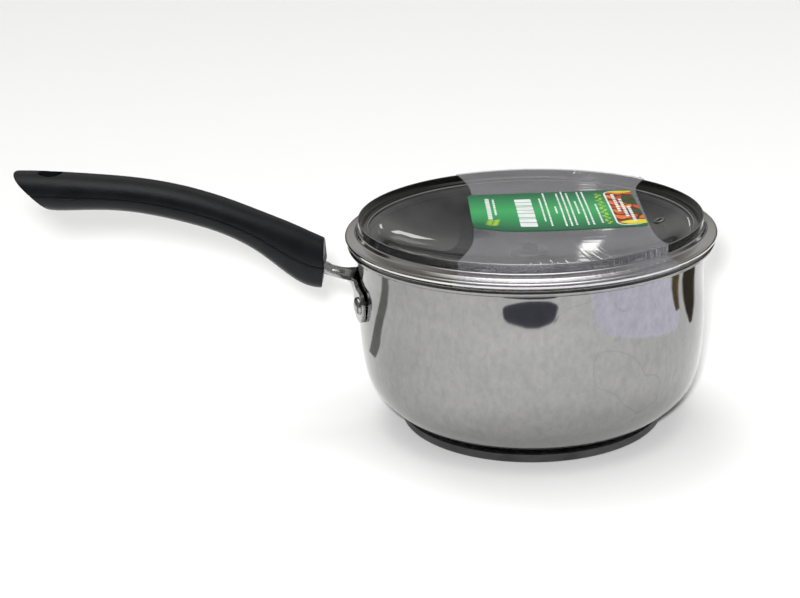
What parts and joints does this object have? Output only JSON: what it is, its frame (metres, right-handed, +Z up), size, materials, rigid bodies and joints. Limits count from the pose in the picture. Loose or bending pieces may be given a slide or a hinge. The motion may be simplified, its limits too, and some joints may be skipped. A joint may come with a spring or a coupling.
{
  "type": "saucepan with glass lid",
  "caption": "Small stainless saucepan with a long black handle and a steel-rimmed glass lid, stored upside down on the rim under a band of clear film with a label.",
  "frame": {"origin": "centre of the underside of the base disc, where the pan rests", "axes": "+Z up along the pan's axis, -X along the handle, +Y completes the right-handed frame"},
  "size_m": [0.3577, 0.1901, 0.1384],
  "materials": {
    "polished_steel": "polished stainless, soft reflections with fine scratches",
    "lid_steel": "bright rolled stainless",
    "base_steel": "satin magnetic stainless, spun underside",
    "satin_steel": "satin pressed stainless",
    "fastener_steel": "plated steel",
    "aluminium_core": "bare aluminium",
    "phenolic": "fine-grained black phenolic",
    "brass": "turned",
    "silicone": "translucent grey silicone",
    "tempered_glass": "clear tempered glass, faint green edge",
    "clear_film": "clear shrink film, glossy, lightly creased",
    "printed_card": null
  },
  "bodies": {
    "pan": {"base_cap": "base_steel", "base_core": "aluminium_core", "pan_body": "polished_steel", "handle_bracket": "satin_steel", "rivet_back": "satin_steel", "rivet_front": "satin_steel", "handle_grip": "phenolic", "handle_screw": "fastener_steel", "handle_lock_washer": "fastener_steel", "handle_nut": "fastener_steel"},
    "lid": {"vent_eyelet": "fastener_steel", "lid_ring": "lid_steel", "glass_gasket": "silicone", "lid_glass": "tempered_glass", "lid_knob": "phenolic", "knob_insert": "brass", "knob_seal": "silicone", "knob_washer": "fastener_steel", "knob_screw": "fastener_steel", "film_band": "clear_film", "label": "printed_card"}
  },
  "joints": [
    {"name": "lid_lift", "type": "slide", "parent": "pan", "child": "lid", "axis": [0, 0, 1], "range_m": [0, 0.12]}
  ]
}
